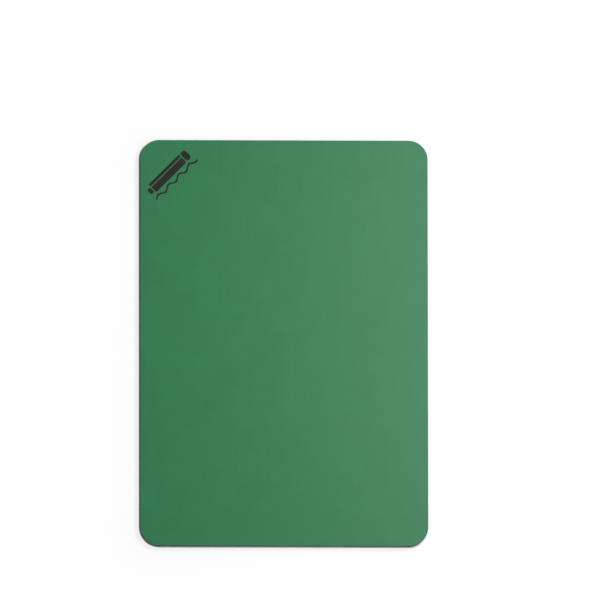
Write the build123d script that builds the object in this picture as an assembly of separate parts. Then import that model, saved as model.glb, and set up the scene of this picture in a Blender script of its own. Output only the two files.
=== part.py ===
from build123d import *
import os

# Writing slate: a hardboard panel with a green chalk sheet glued to its front, a white marker
# sheet glued to its reverse, and a dark lacquer that seals the cut edge all round.
# It lies flat with the chalk face up: X across, Y towards the top edge, Z up, and the origin
# under its centre, on the surface that the marker face rests on.

# Driving dimensions, in millimetres
board_width = 210.0
board_height = 297.0
corner_radius = 14.0
core_thickness = 4.8
chalk_sheet_thickness = 0.4
marker_sheet_thickness = 0.4
glue_thickness = 0.05
seal_thickness = 0.1

# Levels of the stack, from the marker face upwards
marker_glue_level = marker_sheet_thickness
core_level = marker_glue_level + glue_thickness
chalk_glue_level = core_level + core_thickness
chalk_sheet_level = chalk_glue_level + glue_thickness
board_thickness = chalk_sheet_level + chalk_sheet_thickness


def plate(inset, level, thickness):
    """A rounded plate, its outline that far inside the finished board, lying on that level."""
    outline = RectangleRounded(
        board_width - 2 * inset,
        board_height - 2 * inset,
        corner_radius - inset,
    )
    return Pos(0, 0, level) * extrude(outline, thickness)


def layer(level, thickness):
    """One layer of the laminate, cut to the blank that the seal then goes round."""
    return plate(seal_thickness, level, thickness)


def edge_seal():
    """The coat of lacquer round the cut edge, from the marker face to the chalk face."""
    return plate(0, 0, board_thickness) - layer(0, board_thickness)


pieces = {
    "marker_sheet": layer(0, marker_sheet_thickness),
    "marker_glue_film": layer(marker_glue_level, glue_thickness),
    "hardboard_core": layer(core_level, core_thickness),
    "chalk_glue_film": layer(chalk_glue_level, glue_thickness),
    "chalk_sheet": layer(chalk_sheet_level, chalk_sheet_thickness),
    "edge_seal": edge_seal(),
}

os.makedirs("parts", exist_ok=True)
for name, solid in pieces.items():
    solid.label = name
    export_step(solid, f"parts/{name}.step")

print(f"board {board_width} x {board_height} x {board_thickness:.2f} mm")
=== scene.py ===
import bpy
import numpy as np
from math import pi, radians, tan
from mathutils import Matrix, Vector


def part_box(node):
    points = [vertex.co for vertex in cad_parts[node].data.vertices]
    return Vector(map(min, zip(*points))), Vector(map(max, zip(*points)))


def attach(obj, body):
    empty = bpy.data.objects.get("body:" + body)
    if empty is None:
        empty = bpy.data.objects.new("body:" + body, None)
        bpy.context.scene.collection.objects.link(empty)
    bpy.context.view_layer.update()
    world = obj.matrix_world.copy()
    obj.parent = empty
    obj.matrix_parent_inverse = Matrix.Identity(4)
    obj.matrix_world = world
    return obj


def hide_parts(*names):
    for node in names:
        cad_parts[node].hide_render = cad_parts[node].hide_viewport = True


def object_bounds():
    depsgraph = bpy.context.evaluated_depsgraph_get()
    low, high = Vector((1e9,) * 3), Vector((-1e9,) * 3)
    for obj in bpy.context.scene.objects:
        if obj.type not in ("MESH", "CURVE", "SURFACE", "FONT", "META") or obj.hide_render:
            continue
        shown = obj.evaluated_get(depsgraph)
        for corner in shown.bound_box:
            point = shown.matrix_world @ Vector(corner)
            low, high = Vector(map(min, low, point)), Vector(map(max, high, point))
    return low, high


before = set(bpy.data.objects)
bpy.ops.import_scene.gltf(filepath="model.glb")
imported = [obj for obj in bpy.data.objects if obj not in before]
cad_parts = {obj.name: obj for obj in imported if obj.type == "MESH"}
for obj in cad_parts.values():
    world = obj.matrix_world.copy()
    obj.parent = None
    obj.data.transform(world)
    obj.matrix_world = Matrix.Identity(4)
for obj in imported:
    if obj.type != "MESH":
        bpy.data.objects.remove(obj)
cadLow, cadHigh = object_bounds()
mm = 0.001
scene = bpy.context.scene
print("frame loaded:", ", ".join(sorted(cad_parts)))


# Small helpers

def toLinear(hexColour):
    # sRGB hex to linear RGBA, by the sRGB curve
    srgb = np.array([int(hexColour[i:i + 2], 16) for i in (1, 3, 5)]) / 255
    linear = np.where(srgb <= 0.04045, srgb / 12.92, ((srgb + 0.055) / 1.055) ** 2.4)
    return (*linear.tolist(), 1.0)


def addNode(tree, kind, inputs=None, **settings):
    # one node with its own settings; an input is a value, or the socket that feeds it
    node = tree.nodes.new(kind)
    for name, value in settings.items():
        setattr(node, name, value)
    for name, value in (inputs or {}).items():
        if isinstance(value, bpy.types.NodeSocket):
            tree.links.new(value, node.inputs[name])
        else:
            node.inputs[name].default_value = value
    return node


def newMaterial(name):
    # an empty material, with Object coordinates in metres to draw its patterns on
    material = bpy.data.materials.new(name)
    material.use_nodes = True
    tree = material.node_tree
    tree.nodes.clear()
    place = addNode(tree, "ShaderNodeTexCoord").outputs["Object"]
    return material, tree, place


def newPiece(name, points, faces, material, sharpAngle=30):
    # a mesh object at the origin, smooth except across edges sharper than sharpAngle, in degrees
    mesh = bpy.data.meshes.new(name)
    mesh.from_pydata(points.tolist(), [], faces.tolist())
    mesh.validate()
    mesh.shade_smooth()
    mesh.set_sharp_from_angle(angle=radians(sharpAngle))
    mesh.materials.append(material)
    piece = bpy.data.objects.new(name, mesh)
    scene.collection.objects.link(piece)
    return piece


# Surfaces

def panelGrid(width, height, radius, columns, rows, arcRows):
    # a rounded rectangle as a grid: v climbs the height through the lower corners, the straight run
    # and the upper corners, and u shares out the width that the corner circles leave at each v:
    # at angle a of a circle, y is radius sin a past the run, and the half width is
    # width / 2 - radius + radius cos a
    run = height / 2 - radius
    angle = np.linspace(0, pi / 2, arcRows + 1)[1:]
    past = radius * np.sin(angle)
    narrow = width / 2 - radius + radius * np.cos(angle)
    v = np.concatenate([-run - past[::-1], np.linspace(-run, run, rows + 1), run + past])
    half = np.concatenate([narrow[::-1], np.full(rows + 1, width / 2), narrow])
    u = np.linspace(-1, 1, columns + 1)
    return half[:, None] * u, np.repeat(v[:, None], columns + 1, axis=1)


def slab(x, y, top, bottom):
    # closes a grid into a slab: the top sheet, the same grid below it, and a wall round the rim
    rows, columns = x.shape
    count = rows * columns
    index = np.arange(count).reshape(rows, columns)
    sheet = np.stack([index[:-1, :-1], index[:-1, 1:], index[1:, 1:], index[1:, :-1]], -1)
    sheet = sheet.reshape(-1, 4)
    rim = np.concatenate([index[0, :-1], index[:-1, -1], index[-1, :0:-1], index[:0:-1, 0]])
    ahead = np.roll(rim, -1)
    wall = np.stack([rim + count, ahead + count, ahead, rim], -1)
    level = np.stack([np.broadcast_to(top, x.shape), np.broadcast_to(bottom, x.shape)])
    points = np.stack([np.stack([x, x]), np.stack([y, y]), level], -1).reshape(-1, 3)
    return points, np.concatenate([sheet, sheet[:, ::-1] + count, wall])


def roundBand(width, height, radius, inset, level, arcSteps):
    # a closed section, given as insets and levels, carried round a rounded rectangle: each corner
    # circle's centre plus radius less inset times the direction outwards, corner after corner
    quarter = np.linspace(0, pi / 2, arcSteps + 1)
    angle = np.concatenate([quarter + corner * pi / 2 for corner in range(4)])
    side = np.repeat([(1, 1), (-1, 1), (-1, -1), (1, -1)], arcSteps + 1, axis=0)
    centre = side * np.array([width / 2 - radius, height / 2 - radius])
    outwards = np.stack([np.cos(angle), np.sin(angle)], -1)
    flat = centre[:, None] + (radius - inset)[None, :, None] * outwards[:, None]
    points = np.concatenate([flat, np.broadcast_to(level[None, :, None], (*flat.shape[:2], 1))], -1)
    index = np.arange(flat.shape[0] * flat.shape[1]).reshape(flat.shape[:2])
    along = np.roll(index, -1, axis=0)
    faces = np.stack([index, np.roll(index, -1, axis=1), np.roll(along, -1, axis=1), along], -1)
    return points.reshape(-1, 3), faces.reshape(-1, 4)


def turnedOver(points):
    # half a turn about the board's long middle line, which puts a front piece on the reverse
    return points * np.array([-1, 1, -1]) + np.array([0, 0, cadLow.z + cadHigh.z])


# The board's own sizes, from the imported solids

sheetLow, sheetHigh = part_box("chalk_sheet")
sealLow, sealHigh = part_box("edge_seal")
board = {
    "width": sealHigh.x - sealLow.x,
    "height": sealHigh.y - sealLow.y,
    "top": sealHigh.z,
    "seal": sealHigh.x - sheetHigh.x,     # lacquer thickness
    "corner": 14 * mm,                    # radius of the finished corner
}


# Materials

resinIor = 1.5       # melamine, lacquer, ink, glue and pressed wood fibre are all close to it
mixShare = 0         # a colour Mix node's sockets by number, because their names repeat
mixFirst = 6
mixSecond = 7
mixResult = 2        # its colour output


def mattChalkLaminate():
    # melamine chalk laminate, pressed against a fine grit plate: an even deep green that looks dry,
    # with a faint tooth, slow mottling and a broad soft sheen towards the light
    look = {
        "green": "#2C734B",
        "paleGreen": "#307951",
        "grit": 0.45 * mm,         # the real tooth is about 0.1 mm, drawn coarser so that it shows
        "mottle": 14 * mm,
        "streakWide": 1.6 * mm,    # the press plate's brushing, along the board
        "streakLong": 70 * mm,
        "streakShare": 0.45,       # how much the brushing tells beside the mottling and the tooth
        "paleFrom": 0.85,          # sum of the three patterns over which the pale green comes in
        "paleTo": 1.6,
        "smooth": 0.38,            # roughness in the hollows of the tooth
        "rough": 0.46,             # and on its tops
        "toothDepth": 0.045 * mm,
        "toothStrength": 1.0,
        "gloss": 0.35,             # duller than the 0.5 of a plain moulded resin
    }
    material, tree, place = newMaterial("mattChalkLaminate")
    grit = addNode(tree, "ShaderNodeTexNoise", {
        "Vector": place, "Scale": 1 / look["grit"], "Detail": 2.0,
    })
    mottle = addNode(tree, "ShaderNodeTexNoise", {
        "Vector": place, "Scale": 1 / look["mottle"], "Detail": 3.0,
    })
    along = addNode(tree, "ShaderNodeMapping", {
        "Vector": place,
        "Scale": (1 / look["streakWide"], 1 / look["streakLong"], 1 / look["streakLong"]),
    })
    streak = addNode(tree, "ShaderNodeTexNoise", {
        "Vector": along.outputs[0], "Scale": 1.0, "Detail": 1.0,
    })
    slow = addNode(tree, "ShaderNodeMath", {
        0: streak.outputs[0], 1: look["streakShare"], 2: mottle.outputs[0],
    }, operation="MULTIPLY_ADD")
    every = addNode(tree, "ShaderNodeMath", {0: slow.outputs[0], 1: grit.outputs[0]}, operation="ADD")
    pale = addNode(tree, "ShaderNodeMapRange", {
        "Value": every.outputs[0], "From Min": look["paleFrom"], "From Max": look["paleTo"],
    })
    colour = addNode(tree, "ShaderNodeMix", {
        mixShare: pale.outputs[0],
        mixFirst: toLinear(look["green"]),
        mixSecond: toLinear(look["paleGreen"]),
    }, data_type="RGBA")
    rough = addNode(tree, "ShaderNodeMapRange", {
        "Value": grit.outputs[0], "To Min": look["smooth"], "To Max": look["rough"],
    })
    tooth = addNode(tree, "ShaderNodeBump", {
        "Height": grit.outputs[0], "Strength": look["toothStrength"], "Distance": look["toothDepth"],
    })
    surface = addNode(tree, "ShaderNodeBsdfPrincipled", {
        "Base Color": colour.outputs[mixResult],
        "Roughness": rough.outputs[0],
        "Normal": tooth.outputs[0],
        "IOR": resinIor,
        "Specular IOR Level": look["gloss"],
    })
    addNode(tree, "ShaderNodeOutputMaterial", {"Surface": surface.outputs[0]})
    return material


def glossMarkerLaminate():
    # white gloss melamine, pressed against a polished plate: clean, cool white, a clear reflection
    # that an orange-peel ripple bends a little
    look = {
        "white": "#F2F3F2",
        "shade": "#EDEEED",
        "peel": 5 * mm,
        "cloud": 30 * mm,          # slow change of tone and polish
        "smooth": 0.12,            # roughness of the best polished patches
        "rough": 0.2,              # and of the dullest
        "peelDepth": 0.02 * mm,
        "peelStrength": 0.2,
    }
    material, tree, place = newMaterial("glossMarkerLaminate")
    peel = addNode(tree, "ShaderNodeTexNoise", {
        "Vector": place, "Scale": 1 / look["peel"], "Detail": 1.0,
    })
    cloud = addNode(tree, "ShaderNodeTexNoise", {
        "Vector": place, "Scale": 1 / look["cloud"], "Detail": 2.0,
    })
    colour = addNode(tree, "ShaderNodeMix", {
        mixShare: cloud.outputs[0],
        mixFirst: toLinear(look["white"]),
        mixSecond: toLinear(look["shade"]),
    }, data_type="RGBA")
    rough = addNode(tree, "ShaderNodeMapRange", {
        "Value": cloud.outputs[0], "To Min": look["smooth"], "To Max": look["rough"],
    })
    ripple = addNode(tree, "ShaderNodeBump", {
        "Height": peel.outputs[0], "Strength": look["peelStrength"], "Distance": look["peelDepth"],
    })
    surface = addNode(tree, "ShaderNodeBsdfPrincipled", {
        "Base Color": colour.outputs[mixResult],
        "Roughness": rough.outputs[0],
        "Normal": ripple.outputs[0],
        "IOR": resinIor,
    })
    addNode(tree, "ShaderNodeOutputMaterial", {"Surface": surface.outputs[0]})
    return material


def brushedEdgeLacquer():
    # charcoal lacquer brushed on the sawn edge: it lies smooth on the two laminates, which leaves a
    # dark line under each face, and sinks between the hardboard's felted fibres, which shows as short
    # flat streaks, browner and duller where the coat is thin
    look = {
        "coat": "#242121",
        "thin": "#4B413B",
        "fibreHigh": 0.3 * mm,
        "fibreLong": 3.5 * mm,
        "fibreDepth": 0.08 * mm,
        "fibreStrength": 0.6,
        "thinFrom": 0.42,          # how proud a fibre stands where the coat starts to thin
        "thinTo": 0.72,
        "smooth": 0.55,            # roughness of the full coat
        "rough": 0.75,             # and of the thin one
        "gloss": 0.12,             # a dull lacquer
        "joint": 0.12 * mm,        # height over which the coat levels out beside a laminate
    }
    coreLow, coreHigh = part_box("hardboard_core")
    coreMiddle = (coreLow.z + coreHigh.z) / 2
    coreHalf = (coreHigh.z - coreLow.z) / 2
    material, tree, place = newMaterial("brushedEdgeLacquer")
    height = addNode(tree, "ShaderNodeSeparateXYZ", {0: place}).outputs["Z"]
    above = addNode(tree, "ShaderNodeMath", {0: height, 1: coreMiddle}, operation="SUBTRACT")
    fromMiddle = addNode(tree, "ShaderNodeMath", {0: above.outputs[0]}, operation="ABSOLUTE")
    onCore = addNode(tree, "ShaderNodeMapRange", {
        "Value": fromMiddle.outputs[0], "From Min": coreHalf - look["joint"], "From Max": coreHalf,
        "To Min": 1.0, "To Max": 0.0,
    }, interpolation_type="SMOOTHSTEP")
    lie = addNode(tree, "ShaderNodeMapping", {
        "Vector": place,
        "Scale": (1 / look["fibreLong"], 1 / look["fibreLong"], 1 / look["fibreHigh"]),
    })
    fibre = addNode(tree, "ShaderNodeTexNoise", {
        "Vector": lie.outputs[0], "Scale": 1.0, "Detail": 4.0,
    })
    proud = addNode(tree, "ShaderNodeMath", {
        0: fibre.outputs[0], 1: onCore.outputs[0],
    }, operation="MULTIPLY")
    thin = addNode(tree, "ShaderNodeMapRange", {
        "Value": proud.outputs[0], "From Min": look["thinFrom"], "From Max": look["thinTo"],
    })
    colour = addNode(tree, "ShaderNodeMix", {
        mixShare: thin.outputs[0],
        mixFirst: toLinear(look["coat"]),
        mixSecond: toLinear(look["thin"]),
    }, data_type="RGBA")
    rough = addNode(tree, "ShaderNodeMapRange", {
        "Value": thin.outputs[0], "To Min": look["smooth"], "To Max": look["rough"],
    })
    ridge = addNode(tree, "ShaderNodeBump", {
        "Height": proud.outputs[0], "Strength": look["fibreStrength"], "Distance": look["fibreDepth"],
    })
    surface = addNode(tree, "ShaderNodeBsdfPrincipled", {
        "Base Color": colour.outputs[mixResult],
        "Roughness": rough.outputs[0],
        "Normal": ridge.outputs[0],
        "IOR": resinIor,
        "Specular IOR Level": look["gloss"],
    })
    addNode(tree, "ShaderNodeOutputMaterial", {"Surface": surface.outputs[0]})
    return material


def screenInk():
    # dark screen-printed ink: flat and dull, a shade uneven where the mesh laid it thin
    look = {
        "ink": "#201C1B",
        "thinInk": "#2C2826",
        "speck": 1.2 * mm,
        "smooth": 0.45,            # roughness of the full ink
        "rough": 0.6,              # and of the thin ink
        "gloss": 0.25,
    }
    material, tree, place = newMaterial("screenInk")
    speck = addNode(tree, "ShaderNodeTexNoise", {
        "Vector": place, "Scale": 1 / look["speck"], "Detail": 3.0,
    })
    colour = addNode(tree, "ShaderNodeMix", {
        mixShare: speck.outputs[0],
        mixFirst: toLinear(look["ink"]),
        mixSecond: toLinear(look["thinInk"]),
    }, data_type="RGBA")
    rough = addNode(tree, "ShaderNodeMapRange", {
        "Value": speck.outputs[0], "To Min": look["smooth"], "To Max": look["rough"],
    })
    surface = addNode(tree, "ShaderNodeBsdfPrincipled", {
        "Base Color": colour.outputs[mixResult],
        "Roughness": rough.outputs[0],
        "IOR": resinIor,
        "Specular IOR Level": look["gloss"],
    })
    addNode(tree, "ShaderNodeOutputMaterial", {"Surface": surface.outputs[0]})
    return material


def feltedHardboard():
    # hardboard, wet-felted and hot-pressed: dark tan, with fine fibres that lie flat
    look = {
        "brown": "#5A3E2B",
        "tan": "#7B5A41",
        "fibreHigh": 0.2 * mm,
        "fibreLong": 3 * mm,
        "rough": 0.8,
    }
    material, tree, place = newMaterial("feltedHardboard")
    lie = addNode(tree, "ShaderNodeMapping", {
        "Vector": place,
        "Scale": (1 / look["fibreLong"], 1 / look["fibreLong"], 1 / look["fibreHigh"]),
    })
    fibre = addNode(tree, "ShaderNodeTexNoise", {
        "Vector": lie.outputs[0], "Scale": 1.0, "Detail": 5.0,
    })
    colour = addNode(tree, "ShaderNodeMix", {
        mixShare: fibre.outputs[0],
        mixFirst: toLinear(look["brown"]),
        mixSecond: toLinear(look["tan"]),
    }, data_type="RGBA")
    surface = addNode(tree, "ShaderNodeBsdfPrincipled", {
        "Base Color": colour.outputs[mixResult], "Roughness": look["rough"], "IOR": resinIor,
    })
    addNode(tree, "ShaderNodeOutputMaterial", {"Surface": surface.outputs[0]})
    return material


def driedGlue():
    # wood glue dried in the press: a straw-coloured film, patchy where it was rolled thin
    look = {"straw": "#D9CFB4", "thin": "#C4B491", "patch": 9 * mm, "rough": 0.4}
    material, tree, place = newMaterial("driedGlue")
    patch = addNode(tree, "ShaderNodeTexNoise", {
        "Vector": place, "Scale": 1 / look["patch"], "Detail": 2.0,
    })
    colour = addNode(tree, "ShaderNodeMix", {
        mixShare: patch.outputs[0],
        mixFirst: toLinear(look["straw"]),
        mixSecond: toLinear(look["thin"]),
    }, data_type="RGBA")
    surface = addNode(tree, "ShaderNodeBsdfPrincipled", {
        "Base Color": colour.outputs[mixResult], "Roughness": look["rough"], "IOR": resinIor,
    })
    addNode(tree, "ShaderNodeOutputMaterial", {"Surface": surface.outputs[0]})
    return material


chalkLaminate = mattChalkLaminate()
markerLaminate = glossMarkerLaminate()
edgeLacquer = brushedEdgeLacquer()
ink = screenInk()
print("materials made")


# The two faces

face = {
    "columns": 42,
    "rows": 54,
    "arcRows": 16,
    "swell": 0.015 * mm,     # how far the pressed sheet dips between its high spots
    "swellLong": 90 * mm,
    "flatRim": 12 * mm,      # the swell grows from nothing over this width of rim
}


def faceSheet(name, material, node):
    # a laminate sheet that dips by swell times (1 + sine across times sine along) / 2, and less so
    # near the rim
    low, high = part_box(node)
    width, height = high.x - low.x, high.y - low.y
    x, y = panelGrid(
        width, height, board["corner"] - board["seal"], face["columns"], face["rows"], face["arcRows"])
    rimGap = np.minimum(width / 2 - np.abs(x), height / 2 - np.abs(y))
    share = np.clip(rimGap / face["flatRim"], 0, 1)
    turn = 2 * pi / face["swellLong"]
    dip = face["swell"] * share * (1 + np.sin(turn * x) * np.sin(turn * y)) / 2
    points, faces = slab(x, y, board["top"] - dip, board["top"] - (high.z - low.z))
    if high.z < board["top"]:
        points = turnedOver(points)
    piece = newPiece(name, points, faces, material)
    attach(piece, "root")
    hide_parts(node)


faceSheet("chalkFace", chalkLaminate, "chalk_sheet")
faceSheet("markerFace", markerLaminate, "marker_sheet")
print("faces laid")


# The sealed edge

edge = {
    "arris": 0.08 * mm,      # radius that the lacquer takes over the sharp corner
    "arrisSteps": 4,
    "wallSteps": 6,
    "arcSteps": 40,
    "sharpAngle": 50,        # smooths the arris and keeps the band's inner corners
}


def sealedEdge():
    # the lacquer's section: from the chalk face out over a rounded arris, down the wall, round the
    # lower arris to the marker face, and closed up the inner side
    bend = np.linspace(0, pi / 2, edge["arrisSteps"] + 1)
    inwards = edge["arris"] * (1 - np.sin(bend))
    downwards = edge["arris"] * (1 - np.cos(bend))
    wall = np.linspace(board["top"] - edge["arris"], edge["arris"], edge["wallSteps"] + 1)[1:-1]
    inset = np.concatenate([[board["seal"]], inwards, 0 * wall, inwards[::-1], [board["seal"]]])
    level = np.concatenate([[board["top"]], board["top"] - downwards, wall, downwards[::-1], [0]])
    points, faces = roundBand(
        board["width"], board["height"], board["corner"], inset, level, edge["arcSteps"])
    piece = newPiece("lacqueredEdge", points, faces, edgeLacquer, edge["sharpAngle"])
    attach(piece, "root")
    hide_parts("edge_seal")


sealedEdge()
print("edge sealed")


# A plain pictogram in the top left corner of each face shows what writes on it.
# Bars are in millimetres: from and to along the tool, low and high across it.

printed = {
    "right": -81.5 * mm,     # centre of the print, from the board's centre
    "up": 124.2 * mm,
    "turn": 45,              # up the corner's diagonal, in degrees
    "film": 0.02 * mm,       # how far the ink stands above its face, and as far down into it
    "columns": 4,
    "rows": 60,
    "arcRows": 8,
}
stroke = {"from": -22, "to": 20, "low": -5.7, "high": -4.3, "round": 0.6, "wave": 1.2, "waveLong": 10.5}
chalkStick = [
    {"from": -22, "to": -19, "low": -0.4, "high": 4.4, "round": 1.3},
    {"from": -18.2, "to": 13, "low": -1.6, "high": 3.5, "round": 0.4},
    {"from": -18.2, "to": 13, "low": 4.2, "high": 6.4, "round": 0.4},
    {"from": 13.8, "to": 18.4, "low": -1.6, "high": 6.4, "round": 2.2},
    stroke,
]
markerPen = [
    {"from": -22, "to": -19.4, "low": 1.1, "high": 3.7, "round": 0.8},
    {"from": -18.7, "to": -14.4, "low": -0.3, "high": 5.1, "round": 1.4},
    {"from": -13.7, "to": 6, "low": -1.6, "high": 3.5, "round": 0.4},
    {"from": -13.7, "to": 6, "low": 4.2, "high": 6.4, "round": 0.4},
    {"from": 6.7, "to": 20, "low": -1.9, "high": 6.7, "round": 2.0},
    stroke,
]


def printedBar(bar):
    # a rounded panel along the tool, moved aside by a sine of its length where it has a wave
    across, along = panelGrid(
        (bar["high"] - bar["low"]) * mm, (bar["to"] - bar["from"]) * mm, bar["round"] * mm,
        printed["columns"], printed["rows"], printed["arcRows"])
    x = along + (bar["from"] + bar["to"]) / 2 * mm
    y = (bar["low"] + bar["high"]) / 2 * mm - across
    if "wave" in bar:
        y = y + bar["wave"] * mm * np.sin(2 * pi * x / (bar["waveLong"] * mm))
    return slab(x, y, board["top"] + printed["film"], board["top"] - printed["film"])


def pictogram(name, bars, onReverse):
    # the bars joined, turned up the diagonal and moved to the corner
    made = [printedBar(bar) for bar in bars]
    firsts = np.cumsum([0] + [len(points) for points, faces in made[:-1]])
    faces = np.concatenate([faces + first for (points, faces), first in zip(made, firsts)])
    turn = np.array(Matrix.Rotation(radians(printed["turn"]), 3, "Z"))
    points = np.concatenate([points for points, faces in made]) @ turn.T
    points = points + np.array([printed["right"], printed["up"], 0])
    if onReverse:
        points = turnedOver(points)
    piece = newPiece(name, points, faces, ink)
    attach(piece, "root")


pictogram("chalkPictogram", chalkStick, onReverse=False)
pictogram("markerPictogram", markerPen, onReverse=True)
print("pictograms printed")


# The solids between the faces

glue = driedGlue()
inside = {"hardboard_core": feltedHardboard(), "chalk_glue_film": glue, "marker_glue_film": glue}
for node, material in inside.items():
    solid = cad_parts[node]
    solid.data.materials.clear()
    solid.data.materials.append(material)
print("inner layers dressed")


# Floor, light and camera

floorLook = {
    "reach": 40.0,           # half the floor's side, in metres
    "drop": 0.06 * mm,       # clears the print on the lower face
    "pale": "#F6F6F6",
    "footFrom": 0.8 * mm,    # up to here outside the edge, nothing but the lit floor and its shadow
    "footTo": 1.1 * mm,
    "whiteBeside": 0.82,     # share of plain white that the eye sees from there
    "whiteFrom": 45 * mm,    # all white from this far outside
}


def makeFloor():
    # a pale floor that keeps the shadow round the board and turns plain white further out: a point lies
    # outside the board by its distance from the rectangle through the corner circles' centres, less
    # their radius
    material, tree, place = newMaterial("paleFloor")
    aboveAll = 1.0    # higher than any floor point, so that height adds nothing to the distance
    straight = (board["width"] / 2 - board["corner"], board["height"] / 2 - board["corner"], aboveAll)
    side = addNode(tree, "ShaderNodeVectorMath", {0: place}, operation="ABSOLUTE")
    past = addNode(tree, "ShaderNodeVectorMath", {
        0: side.outputs[0], 1: straight,
    }, operation="SUBTRACT")
    outside = addNode(tree, "ShaderNodeVectorMath", {
        0: past.outputs[0], 1: (0, 0, 0),
    }, operation="MAXIMUM")
    away = addNode(tree, "ShaderNodeVectorMath", {0: outside.outputs[0]}, operation="LENGTH")
    clear = addNode(tree, "ShaderNodeMapRange", {
        "Value": away.outputs["Value"],
        "From Min": board["corner"] + floorLook["footFrom"],
        "From Max": board["corner"] + floorLook["footTo"],
    }, interpolation_type="SMOOTHSTEP")
    further = addNode(tree, "ShaderNodeMapRange", {
        "Value": away.outputs["Value"],
        "From Min": board["corner"], "From Max": board["corner"] + floorLook["whiteFrom"],
        "To Min": floorLook["whiteBeside"], "To Max": 1.0,
    }, interpolation_type="SMOOTHSTEP")
    share = addNode(tree, "ShaderNodeMath", {
        0: clear.outputs[0], 1: further.outputs[0],
    }, operation="MULTIPLY")
    ray = addNode(tree, "ShaderNodeLightPath")
    eye = addNode(tree, "ShaderNodeMath", {
        0: ray.outputs["Is Camera Ray"], 1: ray.outputs["Is Glossy Ray"],
    }, operation="MAXIMUM")
    seen = addNode(tree, "ShaderNodeMath", {
        0: eye.outputs[0], 1: ray.outputs["Is Transmission Ray"],
    }, operation="MAXIMUM")
    white = addNode(tree, "ShaderNodeMath", {
        0: seen.outputs[0], 1: share.outputs[0],
    }, operation="MULTIPLY")
    lit = addNode(tree, "ShaderNodeBsdfDiffuse", {"Color": toLinear(floorLook["pale"])})
    plain = addNode(tree, "ShaderNodeEmission", {"Strength": 1.0})
    surface = addNode(tree, "ShaderNodeMixShader", {
        0: white.outputs[0], 1: lit.outputs[0], 2: plain.outputs[0],
    })
    addNode(tree, "ShaderNodeOutputMaterial", {"Surface": surface.outputs[0]})
    corners = np.array([(-1, -1, 0), (1, -1, 0), (1, 1, 0), (-1, 1, 0)]) * floorLook["reach"]
    corners = corners + np.array([0, 0, cadLow.z - floorLook["drop"]])
    newPiece("floor", corners, np.array([[0, 1, 2, 3]]), material)


studio = {
    "low": 0.1,              # strength at the horizon
    "walls": 0.36,           # at mid height, from pale walls all round
    "ceiling": 0.2,          # overhead, dimmer, so that the face shows its own green
    "wallsFrom": 0.1,        # sine of the height at which the walls start, and are at full strength
    "wallsTo": 0.4,
    "ceilingFrom": 0.7,      # the same for the ceiling
    "ceilingTo": 0.95,
}


def makeStudio():
    # light from all round that goes with height alone: low, up to the walls, and down to the ceiling
    world = bpy.data.worlds.new("studio")
    scene.world = world
    world.use_nodes = True
    tree = world.node_tree
    tree.nodes.clear()
    way = addNode(tree, "ShaderNodeTexCoord").outputs["Generated"]
    up = addNode(tree, "ShaderNodeSeparateXYZ", {0: way}).outputs["Z"]
    walls = addNode(tree, "ShaderNodeMapRange", {
        "Value": up, "From Min": studio["wallsFrom"], "From Max": studio["wallsTo"],
        "To Min": studio["low"], "To Max": studio["walls"],
    }, interpolation_type="SMOOTHSTEP")
    ceiling = addNode(tree, "ShaderNodeMapRange", {
        "Value": up, "From Min": studio["ceilingFrom"], "From Max": studio["ceilingTo"],
        "To Min": 1.0, "To Max": studio["ceiling"] / studio["walls"],
    }, interpolation_type="SMOOTHSTEP")
    strength = addNode(tree, "ShaderNodeMath", {
        0: walls.outputs[0], 1: ceiling.outputs[0],
    }, operation="MULTIPLY")
    light = addNode(tree, "ShaderNodeBackground", {"Strength": strength.outputs[0]})
    addNode(tree, "ShaderNodeOutputWorld", {"Surface": light.outputs[0]})


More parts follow.
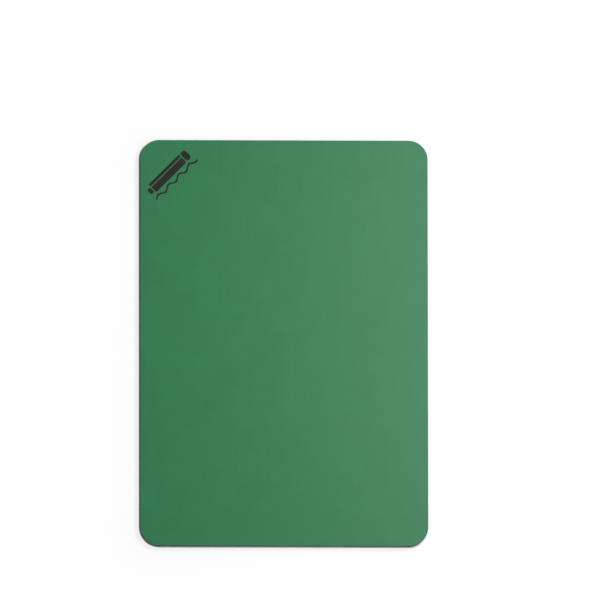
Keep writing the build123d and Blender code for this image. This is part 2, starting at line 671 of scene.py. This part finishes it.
keyBox = {
    "place": (2.0, 1.65, 3.05),
    "aim": (0, 0, 0),
    "width": 1.0,
    "height": 1.0,
    "watts": 88,
    "mirrored": False,       # the face keeps its green when seen against this light
}
sideBox = {
    "place": (0.214, 0.032, 0.5),
    "aim": (0.05, 0, 0),
    "width": 0.55,
    "height": 0.16,
    "watts": 1.7,
    "mirrored": True,        # its reflection is the sheen on the right of the face
}


def hangSoftbox(name, box):
    # a rectangular lamp, turned to its aim and out of the camera's sight
    lamp = bpy.data.lights.new(name, "AREA")
    lamp.shape = "RECTANGLE"
    lamp.size = box["width"]
    lamp.size_y = box["height"]
    lamp.energy = box["watts"]
    hung = bpy.data.objects.new(name, lamp)
    scene.collection.objects.link(hung)
    hung.location = box["place"]
    facing = Vector(box["aim"]) - Vector(box["place"])
    hung.rotation_euler = facing.to_track_quat("-Z", "Y").to_euler()
    hung.visible_camera = False
    hung.visible_glossy = box["mirrored"]


camera = {
    "lens": 1200,            # a long lens, which keeps the face square
    "fromLeft": 2.5,         # how far the eye leans from straight above, in degrees
    "fromBelow": 5.5,
    "roll": -0.075,          # shares the lean's slight skew between the edges
    "distance": 14.594,      # metres from the face, which sets the scale
    "aim": (11.6 * mm, 31.5 * mm),    # point of the face in the middle of the picture
}


def makeCamera():
    # the eye stands off along the lean, with the board's length up the picture, and is then rolled
    data = bpy.data.cameras.new("camera")
    data.lens = camera["lens"]
    eye = bpy.data.objects.new("camera", data)
    scene.collection.objects.link(eye)
    leftwards = tan(radians(camera["fromLeft"]))
    downwards = tan(radians(camera["fromBelow"]))
    back = Vector((-leftwards, -downwards, 1)).normalized()
    boardUp = Vector((0, 1, 0))
    right = boardUp.cross(back).normalized()
    up = back.cross(right)
    turn = Matrix((right, up, back)).transposed() @ Matrix.Rotation(radians(camera["roll"]), 3, "Z")
    aim = Vector((*camera["aim"], board["top"]))
    eye.matrix_world = Matrix.Translation(aim + back * camera["distance"]) @ turn.to_4x4()
    scene.camera = eye


makeFloor()
makeStudio()
hangSoftbox("keyBox", keyBox)      # high to the upper right: the shadow falls to the lower left
hangSoftbox("sideBox", sideBox)    # long and close on the right: the sheen across the face
makeCamera()
scene.view_settings.view_transform = "Standard"
print("stage, light and camera set")
